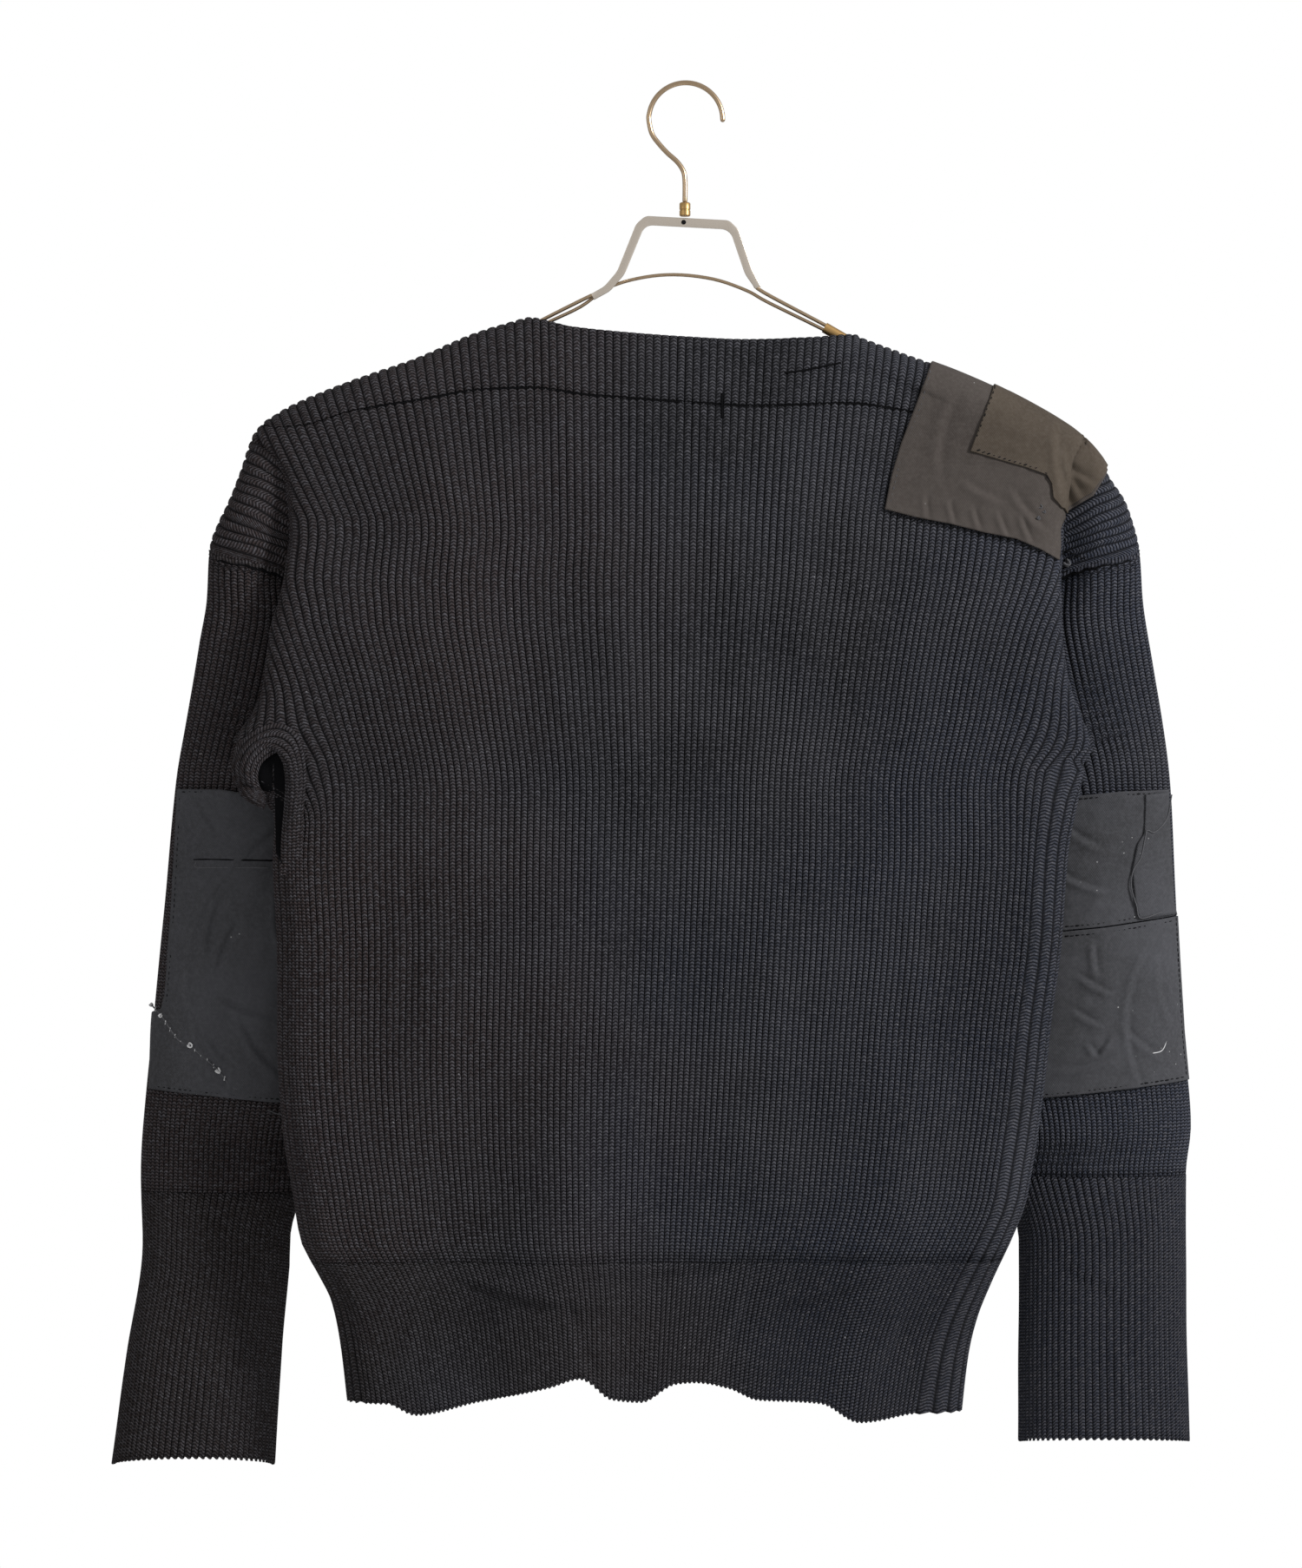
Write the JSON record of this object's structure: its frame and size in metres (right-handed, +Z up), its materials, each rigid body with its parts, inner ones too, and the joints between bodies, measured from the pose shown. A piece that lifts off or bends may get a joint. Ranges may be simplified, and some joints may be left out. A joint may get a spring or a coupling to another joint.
{
  "type": "darned wool sweater on a wire hanger",
  "caption": "Worn dark rib-knit wool sweater with a boat neck, woven patches on a shoulder and both elbows and darned sleeves, hanging from a metal hanger.",
  "frame": {"origin": "inside top of the hanger's hook, where it bears on the rail it hangs from", "axes": "+Z up; -Y faces the garment's back, the side that shows; +X runs from the wearer's left shoulder to the right one"},
  "size_m": [0.693, 0.1069, 0.8823],
  "materials": {
    "knit": "matte charcoal wool rib knit",
    "band": "matte charcoal wool rib, close set",
    "twill": "matte brown-grey cotton twill, worn",
    "elbow_twill": "matte grey cotton twill, worn and dusty",
    "steel": "bright plated wire, lightly tarnished",
    "brass": "plain brass ferrule"
  },
  "bodies": {
    "root": {"back_panel": "knit", "front_panel": "knit", "back_yoke": "knit", "back_band": "band", "front_band": "band", "left_sleeve": "knit", "left_cuff": "band", "right_sleeve": "knit", "right_cuff": "band", "shoulder_patch": "twill", "shoulder_overlay": "twill", "left_elbow_patch": "elbow_twill", "right_elbow_upper": "elbow_twill", "right_elbow_lower": "elbow_twill", "right_elbow_overlay": "elbow_twill", "hanger_hook": "steel", "hanger_bar": "steel", "hanger_left_arm": "steel", "hanger_right_arm": "steel", "hanger_arch": "steel", "hanger_ferrule": "brass"}
  },
  "joints": []
}
